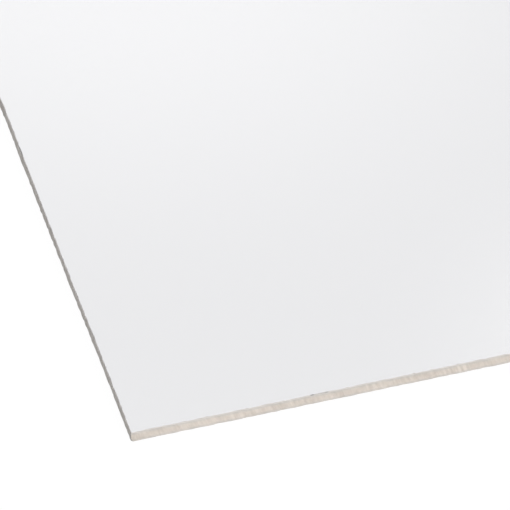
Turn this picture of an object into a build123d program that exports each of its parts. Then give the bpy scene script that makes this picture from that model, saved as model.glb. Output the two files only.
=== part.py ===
from build123d import *
import os

# A sheet of clear acrylic, sawn to size from larger stock. It is one solid piece.
# It lies flat: the underside is on Z = 0 and the origin is under the sheet's middle,
# with the length along X, the width along Y and the upper face towards +Z.

# Driving dimensions, in millimetres
LENGTH = 500.0     # between the two short sawn edges
WIDTH = 250.0      # between the two long sawn edges
THICKNESS = 3.0    # gauge of the stock
ARRIS = 0.15       # leg of the bevel that a scraper leaves where a face meets a sawn edge

NODE = "acrylic_sheet"


def sawn_blank():
    """The sheet as it leaves the saw: square corners and sharp rims."""
    return extrude(Rectangle(LENGTH, WIDTH), THICKNESS)


def scraped(blank):
    """The blank with the saw's burr scraped off, as a bevel round the rim of both faces."""
    underside, *_, upper_face = blank.faces().sort_by(Axis.Z)
    return chamfer(underside.edges() + upper_face.edges(), ARRIS)


sheet = scraped(sawn_blank())
os.makedirs("parts", exist_ok=True)
export_step(sheet, f"parts/{NODE}.step")
print(NODE, "volume", round(sheet.volume, 1), "mm3, size", sheet.bounding_box().size)
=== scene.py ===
# %% [markdown]
# # A sawn sheet of clear acrylic
#
# The real object is one piece of clear plastic, made flat and then cut to size on a saw bench.
# Both faces are as smooth as glass. The four edges are matt, because the teeth broke the plastic there.
# This lesson loads the measured part, works out one detailed closed surface that fills its box,
# and gives that surface three finishes: the clear faces, the sawn edges and the scraped rims.

# %% Load the measured part
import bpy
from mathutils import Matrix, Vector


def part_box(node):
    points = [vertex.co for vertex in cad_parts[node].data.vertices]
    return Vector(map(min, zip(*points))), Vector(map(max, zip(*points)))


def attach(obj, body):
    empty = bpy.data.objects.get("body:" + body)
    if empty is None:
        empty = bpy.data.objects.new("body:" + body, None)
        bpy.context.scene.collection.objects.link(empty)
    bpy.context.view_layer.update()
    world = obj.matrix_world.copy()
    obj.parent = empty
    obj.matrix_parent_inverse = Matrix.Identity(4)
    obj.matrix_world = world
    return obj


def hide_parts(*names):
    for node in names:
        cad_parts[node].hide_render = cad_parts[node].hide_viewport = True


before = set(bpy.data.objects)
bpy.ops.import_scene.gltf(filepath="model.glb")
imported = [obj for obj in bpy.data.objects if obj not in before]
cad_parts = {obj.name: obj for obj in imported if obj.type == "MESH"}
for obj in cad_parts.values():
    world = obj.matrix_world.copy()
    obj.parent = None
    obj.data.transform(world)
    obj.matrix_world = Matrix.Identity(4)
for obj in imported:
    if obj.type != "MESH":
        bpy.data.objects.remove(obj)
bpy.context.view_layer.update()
print("loaded", list(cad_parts))

# %% Set up the scene
import math

import bpy
import numpy as np
from mathutils import Euler, Vector

scene = bpy.context.scene
scene.view_settings.view_transform = "Standard"
print("view transform", scene.view_settings.view_transform)

# %% Read the sheet's sizes
NODE = "acrylic_sheet"
MM = 0.001
LEVEL_DIGITS = 6                       # heights are told apart to a millionth of a metre

low, high = (np.array(corner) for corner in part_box(NODE))
length, width, thickness = high - low
levels = np.unique(np.round([v.co.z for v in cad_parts[NODE].data.vertices], LEVEL_DIGITS))
arris = levels[1] - levels[0]
print("sheet", np.round([length, width, thickness, arris], 5), "m, the last is the scraped rim")

# %% [markdown]
# ## The camera
#
# The photograph looks down on one corner through a long lens, so that the edges hardly converge.
# A camera could be placed by eye. Here its angles and focal length come from the slopes of the four
# edge lines, and its place follows from one pixel: the sheet's near upper corner has to land there.

# %% Place the camera
PHOTO_SIDE = 510                       # pixels
CORNER_PIXEL = (130.62, 433.60)        # the near upper corner, from the photograph's upper left
FOCAL_PIXELS = 4000
LOOKS_DOWN = math.radians(42.12)
HEADING = math.radians(16.66)          # clockwise from the sheet's +Y
CORNER_DISTANCE = 0.9308               # metres
SENSOR = 36.0                          # millimetres

camera = bpy.data.objects.new("camera", bpy.data.cameras.new("camera"))
scene.collection.objects.link(camera)
scene.camera = camera
camera.data.sensor_width = SENSOR
camera.data.lens = SENSOR * FOCAL_PIXELS / PHOTO_SIDE
camera.rotation_euler = Euler((math.pi / 2 - LOOKS_DOWN, 0, -HEADING))
right_of_middle, below_middle = (pixel - PHOTO_SIDE / 2 for pixel in CORNER_PIXEL)
corner_ray = Vector((right_of_middle, -below_middle, -FOCAL_PIXELS)).normalized()
corner_ray.rotate(camera.rotation_euler)
near_corner = Vector((low[0], low[1], high[2]))
camera.location = near_corner - corner_ray * CORNER_DISTANCE
print("camera at", np.round(camera.location, 4), "lens", round(camera.data.lens, 1), "mm")

# %% [markdown]
# ## The path round the sheet
#
# A saw cut is a profile carried along a straight line, and four cuts make the sheet.
# The path is a row of columns round the outline, anticlockwise from the near corner, a quarter of a
# millimetre apart, which is close enough to show single tooth marks. Every column knows its edge and
# its share of it. Where a column is set in, it keeps its share of a side that is shorter at both ends,
# so columns never cross at a corner.

# %% Lay out the columns
COLUMNS = np.array([2048, 1024, 2048, 1024])      # on the front, right, back and left edge

corners = np.array([low[:2], (high[0], low[1]), high[:2], (low[0], high[1])])
edge_way = np.roll(corners, -1, axis=0) - corners
edge_length = np.linalg.norm(edge_way, axis=1)
edge_way /= edge_length[:, None]
edge_in = np.stack([-edge_way[:, 1], edge_way[:, 0]], axis=1)

edge = np.repeat(np.arange(len(COLUMNS)), COLUMNS)
here = np.arange(len(edge))
share = (here - (np.cumsum(COLUMNS) - COLUMNS)[edge]) / COLUMNS[edge]
run = share * edge_length[edge]
path = run + (np.cumsum(edge_length) - edge_length)[edge]
outline = edge_length.sum()
print(len(here), "columns,", round(path[1] / MM, 3), "mm apart")

# %% Set columns in, and ease the marks off at corners
CORNER_TAPER = 4 * MM                  # tooth marks die out this near a corner


def set_in(inset, columns, slide=0.0):
    """Points of these columns, moved in by inset. Along its side a point is at
    inset + share * (side - 2 * inset) + slide, and across it at inset."""
    side = edge[columns]
    along = inset + share[columns] * (edge_length[side] - 2 * inset) + slide
    across = np.broadcast_to(inset, along.shape)
    return corners[side] + along[..., None] * edge_way[side] + across[..., None] * edge_in[side]


def smoothstep(x):
    """0 below 0, 1 above 1, and the cubic 3x^2 - 2x^3 between."""
    x = np.clip(x, 0, 1)
    return x * x * (3 - 2 * x)


taper = smoothstep(np.minimum(run, edge_length[edge] - run) / CORNER_TAPER)
print(np.count_nonzero(taper < 1), "columns near a corner")

# %% [markdown]
# ## Tooth marks
#
# Each tooth of a circular saw crosses the thin sheet on an arc of the blade, and leaves a shallow
# groove that leans the way the tooth was moving. The grooves could be bump in the material. Here they
# are real: the columns themselves lean along the arcs, so every groove runs cleanly down a column.
# A groove's depth and tone are drawn at random, once for the upper rim and once for the lower, and
# fade from one to the other across the cut, because no tooth cuts evenly all the way through.
# The blade also shakes a little sideways as it goes, and the sheet is never fed quite straight, so the
# whole cut sways. The left cut sways where the photograph shows it, and is a little out of square: its
# foot is set in near the corner and stands out further along.

# %% Follow a tooth through the sheet
BLADE_RADIUS = 125 * MM
TOOTH_LEAN = math.radians(19)          # from upright, at mid thickness


def tooth_path(z):
    """How far a tooth has moved along the edge at height z: the circle's half chord there,
    sqrt(radius^2 - (z - centre)^2), less its value at mid thickness."""
    centre = thickness / 2 - BLADE_RADIUS * math.sin(TOOTH_LEAN)
    return np.sqrt(BLADE_RADIUS ** 2 - (z - centre) ** 2) - BLADE_RADIUS * math.cos(TOOTH_LEAN)


print("a tooth moves", round((tooth_path(0) - tooth_path(thickness)) / MM, 2), "mm along the cut")

# %% Let the cuts sway and twist
SEED = 20
SWAY_SPACING = 9 * MM
SWAY_DEPTH = 0.04 * MM
LEFT_SWAY = [                          # millimetres from the near corner, and inwards
    (20, 0.03), (31, 0.09), (38, 0.01), (62, -0.06), (80, 0.01), (88, -0.04),
    (94, 0.05), (100, 0.06), (106, -0.06), (113, 0.12), (120, 0.15), (140, 0.0),
]
LEFT_TWIST = [                         # the same, inwards at the foot and outwards at the upper rim
    (0, 0.045), (60, 0.0), (140, -0.045), (200, 0.0),
]

rng = np.random.default_rng(SEED)


def random_line(spacing):
    """Random values from 0 to 1 at even steps along the path, joined by straight lines."""
    knots = np.arange(0, path[-1] + spacing, spacing)
    return np.interp(path, knots, rng.uniform(0, 1, len(knots)))


left_sway, left_twist = (
    np.interp(outline - path, *(np.array(table).T * MM)) for table in (LEFT_SWAY, LEFT_TWIST))
sway = SWAY_DEPTH * random_line(SWAY_SPACING) + left_sway
print("sway", round(sway.min() / MM, 3), "to", round(sway.max() / MM, 3), "mm inwards")

# %% Draw the grooves
MARK_SPACING = (0.45 * MM, 1.3 * MM)
MARK_DEPTH = (0.004 * MM, 0.030 * MM)
SHAKE_SPACING = 1.2 * MM
SHAKE_DEPTH = 0.16 * MM
CORNER_INSET = 0.12 * MM               # every cut settles to this depth at a corner
MIDDLE_TONE, TONE_SPREAD = 0.5, 0.20
DRIFT_SPACING = 8 * MM
DRIFT_TONE = 0.55
CUT_CONTRAST = np.array([1.0, 1.3, 1.0, 1.8])     # how strongly each edge's tones differ
CORNER_SHADE = 0.3                     # tones are this much darker at a corner


def grooves(sway):
    """Depth and tone along the path. Depth falls in straight lines from 0 midway between two marks to
    each mark's own depth, plus the blade's shake and the sway, and settles to one inset at a corner.
    Tone goes in straight lines between random greys at marks and midways, plus a slow random drift,
    is stretched about its middle by the edge's contrast, and is darker at a corner."""
    marks = np.cumsum(rng.uniform(*MARK_SPACING, int(path[-1] / MARK_SPACING[0])))
    midways = (marks[:-1] + marks[1:]) / 2
    knots = np.concatenate([marks, midways])
    order = np.argsort(knots)
    depths = np.concatenate([rng.uniform(*MARK_DEPTH, len(marks)), np.zeros(len(midways))])
    greys = rng.normal(MIDDLE_TONE, TONE_SPREAD, len(knots))
    depth = np.interp(path, knots[order], depths[order]) + SHAKE_DEPTH * random_line(SHAKE_SPACING) + sway
    tone = np.interp(path, knots[order], greys[order]) + DRIFT_TONE * (random_line(DRIFT_SPACING) - 0.5)
    tone = MIDDLE_TONE + (tone - MIDDLE_TONE) * CUT_CONTRAST[edge] - CORNER_SHADE * (1 - taper)
    return np.clip(CORNER_INSET + (depth - CORNER_INSET) * taper, 0, None), tone


upper_depth, upper_tone = grooves(sway - left_twist)
lower_depth, lower_tone = grooves(sway + left_twist)
print("deepest groove", round(upper_depth.max() / MM, 3), "mm")

# %% Scuff the front edge
SCUFFS = [                             # place, half width (millimetres), tone at the upper rim and lower
    (80.65, 0.28, 1.0, 0.8),
    (82.12, 0.28, 1.1, 0.9),
    (81.50, 5.00, -0.25, -0.3),        # the darker patch that the two pale scuffs lie in
]

for place, half, upper, lower in SCUFFS:
    scuff = np.exp(-((path / MM - place) / half) ** 2)
    upper_tone += upper * scuff
    lower_tone += lower * scuff
print("tones", round(upper_tone.min(), 2), "to", round(upper_tone.max(), 2))

# %% [markdown]
# ## Scraped rims
#
# A saw leaves a sharp burr where a face meets an edge. A scraper takes it off and leaves a narrow
# bevel, which is never quite even, and here and there the brittle plastic has flaked into a chip.
# A bevel modifier would make it even. Here the bevel's leg is a function along the path: the part's
# own rim, plus the scraper's wobble, plus half an ellipse for each nick of the blade and each chip.
# Round the near corner they are where the photograph shows them, and further on chips are drawn at
# random.

# %% List the chips and nicks that show
# In each row: the place from the near corner, the half length and the leg, in millimetres.
FRONT_CHIPS = [(43.95, 0.5, 0.18), (45.8, 2.4, 0.06), (47.5, 0.5, 0.10)]
LEFT_CHIPS = [(34.5, 1.8, 0.08), (89.0, 1.8, 0.08), (106.0, 3.0, 0.10)]
FRONT_NICKS = [
    (12.8, 0.4, 0.10), (18.1, 0.5, 0.17), (27.9, 0.5, 0.13), (36.9, 0.4, 0.16),
    (52.8, 0.4, 0.14), (69.1, 0.4, 0.15), (73.5, 0.4, 0.10), (80.1, 0.35, 0.13),
]

front_chips, left_chips, seen_nicks = (
    np.array(table) * MM for table in (FRONT_CHIPS, LEFT_CHIPS, FRONT_NICKS))
left_chips[:, 0] = outline - left_chips[:, 0]
seen_chips = np.concatenate([front_chips, left_chips])
for table in (seen_chips, seen_nicks):
    table[:, 0] -= tooth_path(thickness)           # the leaning columns reach the rim this far away
print(len(seen_chips), "chips and", len(seen_nicks), "nicks")

# %% Work out the bevel's leg
WOBBLE_SPACING = 2.5 * MM
WOBBLE = 0.05 * MM
NIBBLE_SPACING = 0.7 * MM
NIBBLE = 0.03 * MM
LOOSE_CHIPS = 60                       # round each face
LOOSE_FROM = 140 * MM                  # this far from the near corner
CHIP_HALF = (0.2 * MM, 0.9 * MM)
CHIP_LEG = (0.03 * MM, 0.12 * MM)
CHIP_RAGGED = 0.3                      # share of a chip's leg that is ragged


def notches(table):
    """Along the path, leg * sqrt(1 - ((path - place) / half)^2) for each row of the table where that is
    real and 0 elsewhere. Where rows overlap, the larger counts."""
    place, half, leg = table.T[:, :, None]
    return (leg * np.sqrt(np.clip(1 - ((path - place) / half) ** 2, 0, None))).max(axis=0, initial=0)


def bevel_leg(chips, nicks):
    """The bevel's leg and how much of it is chip: the part's own rim, plus the scraper's wobble and its
    nicks, plus these chips and others drawn at random."""
    drawn = np.stack([
        rng.uniform(LOOSE_FROM, outline - LOOSE_FROM, LOOSE_CHIPS),
        rng.uniform(*CHIP_HALF, LOOSE_CHIPS),
        rng.uniform(*CHIP_LEG, LOOSE_CHIPS),
    ], axis=1)
    flake = notches(np.concatenate([drawn, chips]))
    flake *= taper * (1 - CHIP_RAGGED * random_line(NIBBLE_SPACING))
    wobble = WOBBLE * random_line(WOBBLE_SPACING) + NIBBLE * random_line(NIBBLE_SPACING)
    return arris + (wobble + notches(nicks)) * taper + flake, flake


none_seen = np.empty((0, 3))
upper_leg, upper_flake = bevel_leg(seen_chips, seen_nicks)
lower_leg, lower_flake = bevel_leg(none_seen, none_seen)
print("bevel leg", round(upper_leg.min() / MM, 3), "to", round(upper_leg.max() / MM, 3), "mm")

# %% [markdown]
# ## The rim as one surface
#
# The rim is a grid: columns round the path, and rows from the upper face over the bevel, down the
# sawn edge and round the lower bevel. Each row has an inset, a height and a slide along the edge, so
# three small tables of arrays are the whole shape. Insets only go inwards, so the sheet keeps its size.
# The foot of the near corner has been knocked off, as a slanting facet that widens towards the floor.

# %% Set out the rows
SAWN_ROWS = 7
SCOOP = 0.3                            # how far a chip's middle is hollowed, as a share of its leg

down = np.linspace(0, 1, SAWN_ROWS)[:, None]
rim_height = np.vstack([
    np.full(len(here), thickness), thickness - upper_leg / 2,
    (1 - down) * (thickness - upper_leg) + down * lower_leg,
    lower_leg / 2, np.zeros(len(here)),
])
rim_inset = np.vstack([
    upper_depth + upper_leg, upper_depth + upper_leg / 2 + SCOOP * upper_flake,
    (1 - down) * upper_depth + down * lower_depth,
    lower_depth + lower_leg / 2 + SCOOP * lower_flake, lower_depth + lower_leg,
])
rim_rows, rim_columns = rim_height.shape
rim_total = rim_rows * rim_columns
print("mean inset of each row, mm", np.round(rim_inset.mean(axis=1) / MM, 2))

# %% Knock off the corner's foot and carry the rows round
KNOCK_WIDTH = 0.5 * MM                 # of the facet along each edge, at the floor
KNOCK_HEIGHT = 1.5 * MM

facet_width = KNOCK_WIDTH * smoothstep(1 - rim_height / KNOCK_HEIGHT)
rim_inset += np.clip(facet_width - np.minimum(path, outline - path), 0, None) / 2
rim_plan = set_in(rim_inset, here, tooth_path(rim_height) * taper)
rim_points = np.concatenate([rim_plan, low[2] + rim_height[..., None]], axis=2)

after = np.roll(here, -1)
strip_start = np.arange(rim_rows - 1)[:, None] * rim_columns
rim_quads = np.stack([
    strip_start + here,
    strip_start + rim_columns + here,
    strip_start + rim_columns + after,
    strip_start + after,
], axis=2)
print("rim", rim_points.shape[:2], "points")

# %% [markdown]
# ## The two faces
#
# A face is flat, so it needs few points in the middle, but it has to meet thousands on the rim.
# One huge polygon would join them and triangulate badly. Instead rings step inwards, each with half
# the columns of the one outside it, until they meet a plain grid. Two outer steps and one inner step
# make three triangles, and whole rings of them are made at once.

# %% Fill the middle and join ring to ring
RING_INSETS = np.array([1.0, 2.0, 3.8, 7.2, 13.6, 26.0]) * MM


def middle_grid():
    """Points of a plain grid inside the last ring, row by row from the front, and their numbers.
    Its columns and rows are the rim's, halved once for each ring."""
    across, deep = COLUMNS[:2] // 2 ** len(RING_INSETS)
    x0, y0 = corners[0] + RING_INSETS[-1]
    x1, y1 = corners[2] - RING_INSETS[-1]
    x, y = np.meshgrid(np.linspace(x0, x1, across + 1), np.linspace(y0, y1, deep + 1))
    return np.stack([x.ravel(), y.ravel()], axis=1), np.arange(x.size).reshape(x.shape)


def ring_triangles(outer, inner):
    """Triangles between two closed rows of points, where outer has two for each one of inner:
    one on each of two outer steps, and between them one on the inner step."""
    start, middle, end = outer[::2], outer[1::2], np.roll(outer[::2], -1)
    ahead = np.roll(inner, -1)
    threes = ((start, middle, inner), (middle, ahead, inner), (middle, end, ahead))
    return [np.stack(three, axis=1) for three in threes]


print(len(RING_INSETS), "rings round a grid of", middle_grid()[1].shape, "points")

# %% Make both faces
def face_patch(outer, count, z):
    """Points, triangles and quads of one face inside the rim's row of points called outer. New points
    are numbered from count, the grid's first. Seen from above, all run anticlockwise."""
    plan, grid = middle_grid()
    grid = grid + count
    rings = [set_in(inset, here[::2 ** step]) for step, inset in enumerate(RING_INSETS[:-1], start=1)]
    starts = count + np.cumsum([len(points) for points in [plan, *rings]])
    rows = [start + np.arange(len(ring)) for start, ring in zip(starts, rings)]
    rows.append(np.concatenate([grid[0, :-1], grid[:-1, -1], grid[-1, :0:-1], grid[:0:-1, 0]]))
    triangles = [ring_triangles(*pair) for pair in zip([outer, *rows], rows)]
    quads = np.stack([grid[:-1, :-1], grid[:-1, 1:], grid[1:, 1:], grid[1:, :-1]], axis=2).reshape(-1, 4)
    plan = np.concatenate([plan, *rings])
    return np.column_stack([plan, np.full(len(plan), z)]), np.concatenate(sum(triangles, [])), quads


lower_row = (rim_rows - 1) * rim_columns + here
upper_points, upper_triangles, upper_quads = face_patch(here, rim_total, high[2])
lower_count = rim_total + len(upper_points)
lower_points, lower_triangles, lower_quads = face_patch(lower_row, lower_count, low[2])
lower_triangles, lower_quads = lower_triangles[:, ::-1], lower_quads[:, ::-1]
print("faces", len(upper_triangles) + len(lower_triangles), "triangles", 2 * len(upper_quads), "quads")

# %% [markdown]
# ## One closed mesh
#
# Rim and faces share their points, so together they close without a seam, and a clear solid needs that:
# light has to know whether it is inside. Two maps go with the mesh. One lays the whole skin out flat,
# with the edges enlarged, for anyone who wants to paint the finish into a picture. The other runs along
# the cuts in millimetres, for the finishes that follow a cut.

# %% Build the mesh
FACES, SAWN, SCRAPED = range(3)        # the mesh's material slots
SHARP_FROM = math.radians(24)          # sides that meet at more than this show a crisp line

points = np.concatenate([rim_points.reshape(-1, 3), upper_points, lower_points])
groups = [rim_quads.reshape(-1, 4), upper_quads, lower_quads, upper_triangles, lower_triangles]
strip_slot = np.full(rim_rows - 1, SAWN)
strip_slot[[0, 1, -2, -1]] = SCRAPED   # two strips make each bevel
face_total = sum(len(group) for group in groups[1:])
slots = np.concatenate([np.repeat(strip_slot, rim_columns), np.full(face_total, FACES)])

mesh = bpy.data.meshes.new("sawn_sheet")
mesh.from_pydata(points, [], [polygon for group in groups for polygon in group.tolist()])
mesh.polygons.foreach_set("material_index", slots.astype(np.int32))
mesh.polygons.foreach_set("use_smooth", np.ones(len(slots), bool))
mesh.set_sharp_from_angle(angle=SHARP_FROM)
triangle_total = sum(len(group) * (group.shape[1] - 2) for group in groups)
print("mesh", len(points), "points", triangle_total, "triangles")

# %% Lay the skin out flat
STRIP_HEIGHT, STRIP_PITCH = 0.030, 0.036          # shares of the map's height
FACE_HEIGHT, FACE_PITCH, FACE_START = 0.375, 0.385, 0.225

strip_columns = COLUMNS[1]             # the outline is cut into strips as long as a short edge
column_pair = np.stack([here, here, here + 1, here + 1], axis=1)
row_pair = np.arange(rim_rows - 1)[:, None, None] + np.array([0, 1, 1, 0])
column_pair, row_pair = np.broadcast_arrays(column_pair, row_pair)
strip = (here // strip_columns)[:, None]
strip_u = (column_pair - strip * strip_columns) / strip_columns
strip_v = strip * STRIP_PITCH + row_pair / (rim_rows - 1) * STRIP_HEIGHT


def laid_flat(faces, level):
    """A face's corners seen from above: x and y as shares of the sheet, in the band of that level."""
    x, y = np.moveaxis((points[faces][..., :2] - low[:2]) / (length, width), -1, 0)
    return np.stack([x, FACE_START + level * FACE_PITCH + y * FACE_HEIGHT], axis=-1).reshape(-1, 2)


skin = np.concatenate([
    np.stack([strip_u, strip_v], axis=-1).reshape(-1, 2),
    *(laid_flat(faces, level) for level, faces in zip((0, 1, 0, 1), groups[1:])),
])
print("skin", len(skin), "corners from", skin.min(axis=0), "to", np.round(skin.max(axis=0), 3))

# %% Run a second map along the cuts
cut = np.zeros_like(skin)
path_pair = np.append(path, outline)[column_pair]
height_pair = rim_height[row_pair, np.append(here, 0)[column_pair]]
cut[:path_pair.size] = np.stack([path_pair, height_pair], axis=-1).reshape(-1, 2) / MM
for name, values in (("OFBake", skin), ("along_the_cut", cut)):
    mesh.uv_layers.new(name=name).uv.foreach_set("vector", values.astype(np.float32).ravel())
print("maps", [layer.name for layer in mesh.uv_layers])

# %% Write the tones
# Painted light: each edge's rims are painted lighter by its share, most on the left, standing in for light
# from above on the bevel.
RIM_PAINTED_LIGHT = np.array([0.0, 0.5, 0.2, 1.0])    # share by which each edge's rims are painted lighter

tone = np.full(len(points), MIDDLE_TONE)
tone[:rim_total] = np.vstack([
    upper_tone, upper_tone, (1 - down) * upper_tone + down * lower_tone, lower_tone, lower_tone,
]).ravel()
upper_chip, lower_chip = (smoothstep(flake / CHIP_LEG[1]) for flake in (upper_flake, lower_flake))
no_chip = np.zeros((SAWN_ROWS, rim_columns))
chipped = np.zeros(len(points))
chipped[:rim_total] = np.vstack([upper_chip, upper_chip, no_chip, lower_chip, lower_chip]).ravel()
whiteness = np.zeros(len(points))
whiteness[:rim_total] = np.tile(RIM_PAINTED_LIGHT[edge], rim_rows)
for name, values in (("tone", tone), ("chipped", chipped), ("whiteness", whiteness)):
    attribute = mesh.attributes.new(name, "FLOAT", "POINT")
    attribute.data.foreach_set("value", values.astype(np.float32))
mesh.validate()
print(np.count_nonzero(chipped), "points in chips")

# %% Stand it in for the measured part
sheet = bpy.data.objects.new("sawn_sheet", mesh)
scene.collection.objects.link(sheet)
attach(sheet, "root")
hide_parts(NODE)
print("sheet spans", np.round(points.max(axis=0) - points.min(axis=0), 5), "m")

# %% [markdown]
# ## Finishes
#
# A finish is a material made of nodes. A few small helpers make them quick to read: one starts a
# material and returns its shader, one adds a node and fills its sockets, and the rest are for patterns.
# A value is a plain number or colour, or the output of another node.

# %% Helpers that start a material and add to it
def feed(owner, socket, value):
    """Joins a socket to another node's output, or sets it to a plain value."""
    if isinstance(value, bpy.types.NodeSocket):
        owner.node_tree.links.new(value, socket)
    else:
        socket.default_value = value


def start_material(name, **values):
    """A new material and its Principled shader, with these values on the shader's own sockets."""
    material = bpy.data.materials.new(name)
    material.use_nodes = True
    shader = material.node_tree.nodes["Principled BSDF"]
    for socket, value in values.items():
        feed(material, shader.inputs[socket.replace("_", " ")], value)
    return material, shader


def add_node(owner, kind, values=None, **settings):
    """A new node of that kind in a material or the world, with its settings made and its sockets fed."""
    node = owner.node_tree.nodes.new("ShaderNode" + kind)
    for setting, value in settings.items():
        setattr(node, setting, value)
    for socket, value in (values or {}).items():
        feed(owner, node.inputs[socket], value)
    return node


print("helpers", [helper.__name__ for helper in (feed, start_material, add_node)])

# %% Helpers for patterns
def compute(material, operation, *values):
    """The result of a sum on values and outputs."""
    return add_node(material, "Math", dict(enumerate(values)), operation=operation).outputs[0]


def noise(material, source, waves, **values):
    """Smooth noise from 0 to 1, with so many waves to the unit along each axis of the source."""
    scaled = add_node(material, "VectorMath", {0: source, 1: waves}, operation="MULTIPLY").outputs[0]
    return add_node(material, "TexNoise", {"Vector": scaled, "Scale": 1.0, **values}).outputs[0]


def span(material, factor, first, last):
    """The factor from 0 to 1 spread over a range of values: first + factor * (last - first)."""
    return add_node(material, "MapRange", {"Value": factor, "To Min": first, "To Max": last}).outputs[0]


def blend(material, factor, first, second, blend_type="MIX"):
    """Two colours mixed by a factor: first + factor * (second - first), or as the blend type says."""
    values = {"Factor": factor, 6: first, 7: second}
    return add_node(material, "Mix", values, data_type="RGBA", blend_type=blend_type).outputs[2]


def add_bump(material, height, strength, depth):
    """A normal tilted by the slopes of a height, whose range from 0 to 1 is that deep."""
    values = {"Height": height, "Strength": strength, "Distance": depth}
    return add_node(material, "Bump", values).outputs["Normal"]


print("helpers", [helper.__name__ for helper in (compute, noise, span, blend, add_bump)])

# %% [markdown]
# ## The clear faces
#
# Acrylic bends light a little less than window glass, and a thin sheet of it takes very little away.
# What you see on a face is the floor below, slightly dimmed and cool, with the room mirrored on top.
# So the finish is plain glass of the right index, and only its gloss varies, by the faint haze that
# handling leaves. Its tint is darker than the plastic's own: it is partly painted shade, for the shadow
# that the sheet casts on the floor below.

# %% Make the clear finish
# partly painted shade: darker than acrylic, for the sheet's shadow on the floor below
CLEAR_TINT_AND_SHADE = (0.921, 0.922, 0.936, 1)
ACRYLIC_INDEX = 1.49
HAZE = {"waves": (22, 22, 22), "Detail": 3.0}     # waves to the metre
CLEAR_ROUGHNESS = (0.004, 0.026)

clear, clear_shader = start_material(
    "clear_faces", Base_Color=CLEAR_TINT_AND_SHADE, IOR=ACRYLIC_INDEX, Transmission_Weight=1.0)
place_on_sheet = add_node(clear, "TexCoord").outputs["Object"]
haze = noise(clear, place_on_sheet, **HAZE)
feed(clear, clear_shader.inputs["Roughness"], span(clear, haze, *CLEAR_ROUGHNESS))
print("clear faces, index", ACRYLIC_INDEX)

# %% [markdown]
# ## The sawn edges
#
# The teeth leave a matt, frosted break that catches the light in a warm grey. Each groove has its own
# tone, and the break mottles it. The colour drifts over a few millimetres. Near the two rims the cut
# turns darker and greyer in patches. Finer scratches than the mesh can hold run down the grooves, and
# are tone, bump and roughness on the map that follows the cut.

# %% Mix the colours of the cut
SAWN_DARK, SAWN_PALE = (0.572, 0.527, 0.483, 1), (0.733, 0.685, 0.641, 1)
DRIFT_YELLOW, DRIFT_PINK = (1.0, 0.985, 0.93, 1), (1.0, 0.955, 0.945, 1)
# The waves are to the millimetre, along the cut and down it.
MOTTLE = {"waves": (1.0, 0.6, 0), "Detail": 6.0, "Roughness": 0.65}
SCRATCHES = {"waves": (5.0, 0.22, 0), "Detail": 2.0}
DRIFT = {"waves": (0.16, 0.25, 0), "Detail": 2.0}
MOTTLE_TONE = 1.8
SCRATCH_TONE = 1.0

sawn, sawn_shader = start_material("sawn_edges", IOR=ACRYLIC_INDEX)
along = add_node(sawn, "UVMap", uv_map="along_the_cut").outputs["UV"]
sawn_tone = add_node(sawn, "Attribute", attribute_name="tone").outputs["Fac"]
mottle = noise(sawn, along, **MOTTLE)
scratches = noise(sawn, along, **SCRATCHES)
for pattern, contrast in ((mottle, MOTTLE_TONE), (scratches, SCRATCH_TONE)):
    sawn_tone = compute(sawn, "ADD", sawn_tone, span(sawn, pattern, -contrast / 2, contrast / 2))
streaked = blend(sawn, sawn_tone, SAWN_DARK, SAWN_PALE)
drifted = blend(sawn, noise(sawn, along, **DRIFT), DRIFT_YELLOW, DRIFT_PINK)
cut_colour = blend(sawn, 1.0, streaked, drifted, "MULTIPLY")
print("sawn edges", SAWN_DARK, "to", SAWN_PALE)

# %% Grey them in patches near the rims and roughen them
NEAR_RIM_GREY = (0.52, 0.506, 0.49, 1)
NEAR_RIM_PATCHES = {"waves": (0.35, 0.7, 0), "Detail": 2.0}
NEAR_RIM_FROM = {"From Min": 0.4, "From Max": 1.25}       # millimetres from the middle of the cut
SAWN_ROUGHNESS = (0.3, 0.5)
SCRATCH_BUMP = {"strength": 1.0, "depth": 0.03 * MM}

height = add_node(sawn, "SeparateXYZ", {0: along}).outputs["Y"]
from_middle = compute(sawn, "ABSOLUTE", compute(sawn, "SUBTRACT", height, thickness / MM / 2))
near_rim = add_node(
    sawn, "MapRange", {"Value": from_middle, **NEAR_RIM_FROM}, interpolation_type="SMOOTHSTEP").outputs[0]
near_rim_patches = compute(sawn, "MULTIPLY", near_rim, noise(sawn, along, **NEAR_RIM_PATCHES))
feed(sawn, sawn_shader.inputs["Base Color"], blend(sawn, near_rim_patches, cut_colour, NEAR_RIM_GREY))
feed(sawn, sawn_shader.inputs["Roughness"], span(sawn, scratches, *SAWN_ROUGHNESS))
feed(sawn, sawn_shader.inputs["Normal"], add_bump(sawn, scratches, **SCRATCH_BUMP))
print("greyed towards", NEAR_RIM_GREY)

# %% [markdown]
# ## The scraped rims
#
# A scraper's blade leaves a smoother, cooler surface than a saw, with fine lines along the edge. Each
# edge's rims are painted lighter by a share of their own, most on the left, where it is painted light from
# above that the bevel catches. In a chip the break is clear, so it looks darker than the rim: its dark
# grey is painted shade.

# %% Make the scraped finish
RIM_GREY, RIM_LIT_COLOUR = (0.623, 0.59, 0.56, 1), (0.84, 0.80, 0.76, 1)
# Painted shade: a chip's dark grey stands in for the look of the clear break.
CHIP_PAINTED_DARK = (0.36, 0.35, 0.34, 1)
BLADE_LINES = {"waves": (0.3, 18.0, 0), "Detail": 3.0}     # to the millimetre, along the rim and across it
RIM_ROUGHNESS = (0.25, 0.5)
BLADE_BUMP = {"strength": 0.4, "depth": 0.01 * MM}

scraped, scraped_shader = start_material("scraped_rims", IOR=ACRYLIC_INDEX)
along = add_node(scraped, "UVMap", uv_map="along_the_cut").outputs["UV"]
in_chip = add_node(scraped, "Attribute", attribute_name="chipped").outputs["Fac"]
rim_light_share = add_node(scraped, "Attribute", attribute_name="whiteness").outputs["Fac"]
blade_lines = noise(scraped, along, **BLADE_LINES)
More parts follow.
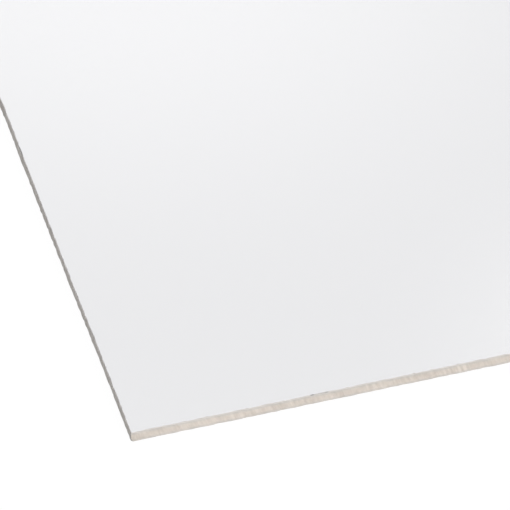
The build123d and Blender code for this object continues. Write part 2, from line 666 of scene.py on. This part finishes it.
# painted light: the rims mix towards a lighter colour by each edge's share
rim_colour = blend(scraped, rim_light_share, RIM_GREY, RIM_LIT_COLOUR)
# painted shade in the chips
feed(scraped, scraped_shader.inputs["Base Color"], blend(scraped, in_chip, rim_colour, CHIP_PAINTED_DARK))
feed(scraped, scraped_shader.inputs["Roughness"], span(scraped, blade_lines, *RIM_ROUGHNESS))
feed(scraped, scraped_shader.inputs["Normal"], add_bump(scraped, blade_lines, **BLADE_BUMP))

for material in (clear, sawn, scraped):
    mesh.materials.append(material)
print("materials", [m.name for m in mesh.materials])

# %% [markdown]
# ## The floor
#
# The photograph's ground is pure white. A lamp strong enough to do that would bleach the sheet, so the
# floor shows white only to the eye, to mirrors and through clear things, and keeps a little of its
# true shade so that the sheet's shadow stays. To everything else it is a plain grey floor.

# %% Helpers for things that glow
def seen_directly(material):
    """1 for rays from the eye, off a mirror or through a clear solid, and 0 for light on its way."""
    rays = add_node(material, "LightPath").outputs
    seen_or_mirrored = compute(material, "MAXIMUM", rays["Is Camera Ray"], rays["Is Glossy Ray"])
    return compute(material, "MAXIMUM", seen_or_mirrored, rays["Is Transmission Ray"])


def mix_surfaces(material, factor, first, second):
    """The material's surface: two shaders mixed by a factor."""
    surface = material.node_tree.nodes["Material Output"].inputs["Surface"]
    feed(material, surface, add_node(material, "MixShader", {0: factor, 1: first, 2: second}).outputs[0])


print("helpers", [helper.__name__ for helper in (seen_directly, mix_surfaces)])

# %% Lay the floor
FLOOR_GAP = 0.1 * MM                   # keeps the floor's surface apart from the sheet's
FLOOR_HALF = 12.0
FLOOR_GREY = (0.24, 0.24, 0.24, 1)
FLOOR_WHITE = 1.285
SHADE_KEPT = 0.25                      # share of the floor's true shade that shows

floor_mesh = bpy.data.meshes.new("floor")
floor_plan = FLOOR_HALF * np.array([(-1, -1), (1, -1), (1, 1), (-1, 1)])
floor_mesh.from_pydata(np.column_stack([floor_plan, np.full(4, low[2] - FLOOR_GAP)]), [], [(0, 1, 2, 3)])
floor = bpy.data.objects.new("floor", floor_mesh)
scene.collection.objects.link(floor)

floor_finish, floor_shader = start_material(
    "floor", Base_Color=FLOOR_GREY, Roughness=1.0, Specular_IOR_Level=0.0)
floor_glow = add_node(floor_finish, "Emission", {"Strength": FLOOR_WHITE})
glow_share = compute(floor_finish, "MULTIPLY", seen_directly(floor_finish), 1 - SHADE_KEPT)
mix_surfaces(floor_finish, glow_share, floor_shader.outputs[0], floor_glow.outputs[0])
floor_mesh.materials.append(floor_finish)
print("floor", 2 * FLOOR_HALF, "m square")

# %% [markdown]
# ## White walls and a dim ceiling
#
# A clear sheet shows the room it lies in. White walls all round light the edges softly, less on the left
# than on the right, and the ceiling above them is dim, so that a face seen from above stays a shade
# darker than the floor. The world's own direction gives the side and the height above the horizon.

# %% Paint the room
ROOM_WHITE = (1, 1, 1, 1)
WALL, CEILING = 1.0, 0.10
SIDES = {"From Min": -1.0, "To Min": 0.68, "To Max": 1.12}     # share of the light from left to right
WALL_TOP = math.sin(math.radians(8))
CEILING_START = math.sin(math.radians(30))

world = bpy.data.worlds.new("room")
scene.world = world
world.use_nodes = True
background = world.node_tree.nodes["Background"]
direction = add_node(world, "TexCoord").outputs["Generated"]
sideways, _, rise = add_node(world, "SeparateXYZ", {0: direction}).outputs
side_share = add_node(world, "MapRange", {"Value": sideways, **SIDES}).outputs[0]
brightness = add_node(
    world, "MapRange",
    {"Value": rise, "From Min": WALL_TOP, "From Max": CEILING_START, "To Min": WALL, "To Max": CEILING},
    interpolation_type="SMOOTHSTEP").outputs[0]
feed(world, background.inputs["Strength"], compute(world, "MULTIPLY", brightness, side_share))
feed(world, background.inputs["Color"], ROOM_WHITE)
print("room: walls", WALL, "ceiling", CEILING)

# %% [markdown]
# ## Suns
#
# A low soft sun from the front lights the front edge and leaves the left edge in shade, a weaker one
# from behind keeps the far edges from going dark, and one overhead picks out the scraped rims.
# Their discs would glare in the glossy sheet, so neither mirrors nor clear things see them.

# %% Turn on the suns
SUNS = [                               # the way from the sheet, and the strength
    ((0.12, -0.94, 0.32), 2.34),
    ((0.55, 0.62, 0.56), 1.4),
    ((0.03, -0.10, 0.99), 0.8),
]
SUN_ANGLE = math.radians(20)

for way, strength in SUNS:
    sun = bpy.data.objects.new("sun", bpy.data.lights.new("sun", "SUN"))
    scene.collection.objects.link(sun)
    sun.rotation_euler = Vector(way).to_track_quat("Z", "Y").to_euler()
    sun.data.energy = strength
    sun.data.angle = SUN_ANGLE
    sun.visible_glossy = sun.visible_transmission = False
print(len(SUNS), "suns")

# %% [markdown]
# ## Soft lamps
#
# Round soft lamps hang over the sheet for the faces to mirror. Each fades to nothing at its rim,
# so a face shows a smooth sheen and no outline. Only mirrors and clear things see them. Two make the
# sheen in the photograph, one hangs over the middle, and the others stand round for other views.

# %% Hang the soft lamps
LAMP_HEIGHT = 0.7
ROUND_LAMP = (0.38, 1.20)              # radius and strength
ROUND_PLACES = [(0.90, 0.05), (0.55, -0.60), (-0.15, -0.85), (-0.75, -0.40), (-0.70, 0.35)]
LAMPS = [                              # x, y, radius and strength, in metres and shares of white
    (0.024, 0.956, 0.407, 1.22),
    (0.240, 0.514, 0.225, 3.00),
    *(place + ROUND_LAMP for place in ROUND_PLACES),
    (-0.12, -0.08, 0.30, 0.80),
]


def hang_lamp(number, x, y, radius, strength):
    """A square card that glows as smootherstep(1 - distance / radius) and is clear elsewhere."""
    card = bpy.data.meshes.new(f"soft_lamp_{number}")
    card.from_pydata([(-1, -1, 0), (-1, 1, 0), (1, 1, 0), (1, -1, 0)], [], [(0, 1, 2, 3)])
    lamp = bpy.data.objects.new(card.name, card)
    scene.collection.objects.link(lamp)
    lamp.location, lamp.scale = (x, y, LAMP_HEIGHT), (radius, radius, 1)
    lamp.visible_camera = lamp.visible_diffuse = lamp.visible_shadow = False
    finish, _ = start_material(card.name)
    from_middle = add_node(finish, "TexCoord").outputs["Object"]
    fade = add_node(finish, "TexGradient", {0: from_middle}, gradient_type="SPHERICAL").outputs["Fac"]
    soft = add_node(finish, "MapRange", {"Value": fade}, interpolation_type="SMOOTHERSTEP").outputs[0]
    clear_card = add_node(finish, "BsdfTransparent").outputs[0]
    glow = add_node(finish, "Emission", {"Strength": strength}).outputs[0]
    mix_surfaces(finish, soft, clear_card, glow)
    card.materials.append(finish)


for number, lamp in enumerate(LAMPS):
    hang_lamp(number, *lamp)
print(len(LAMPS), "lamps")
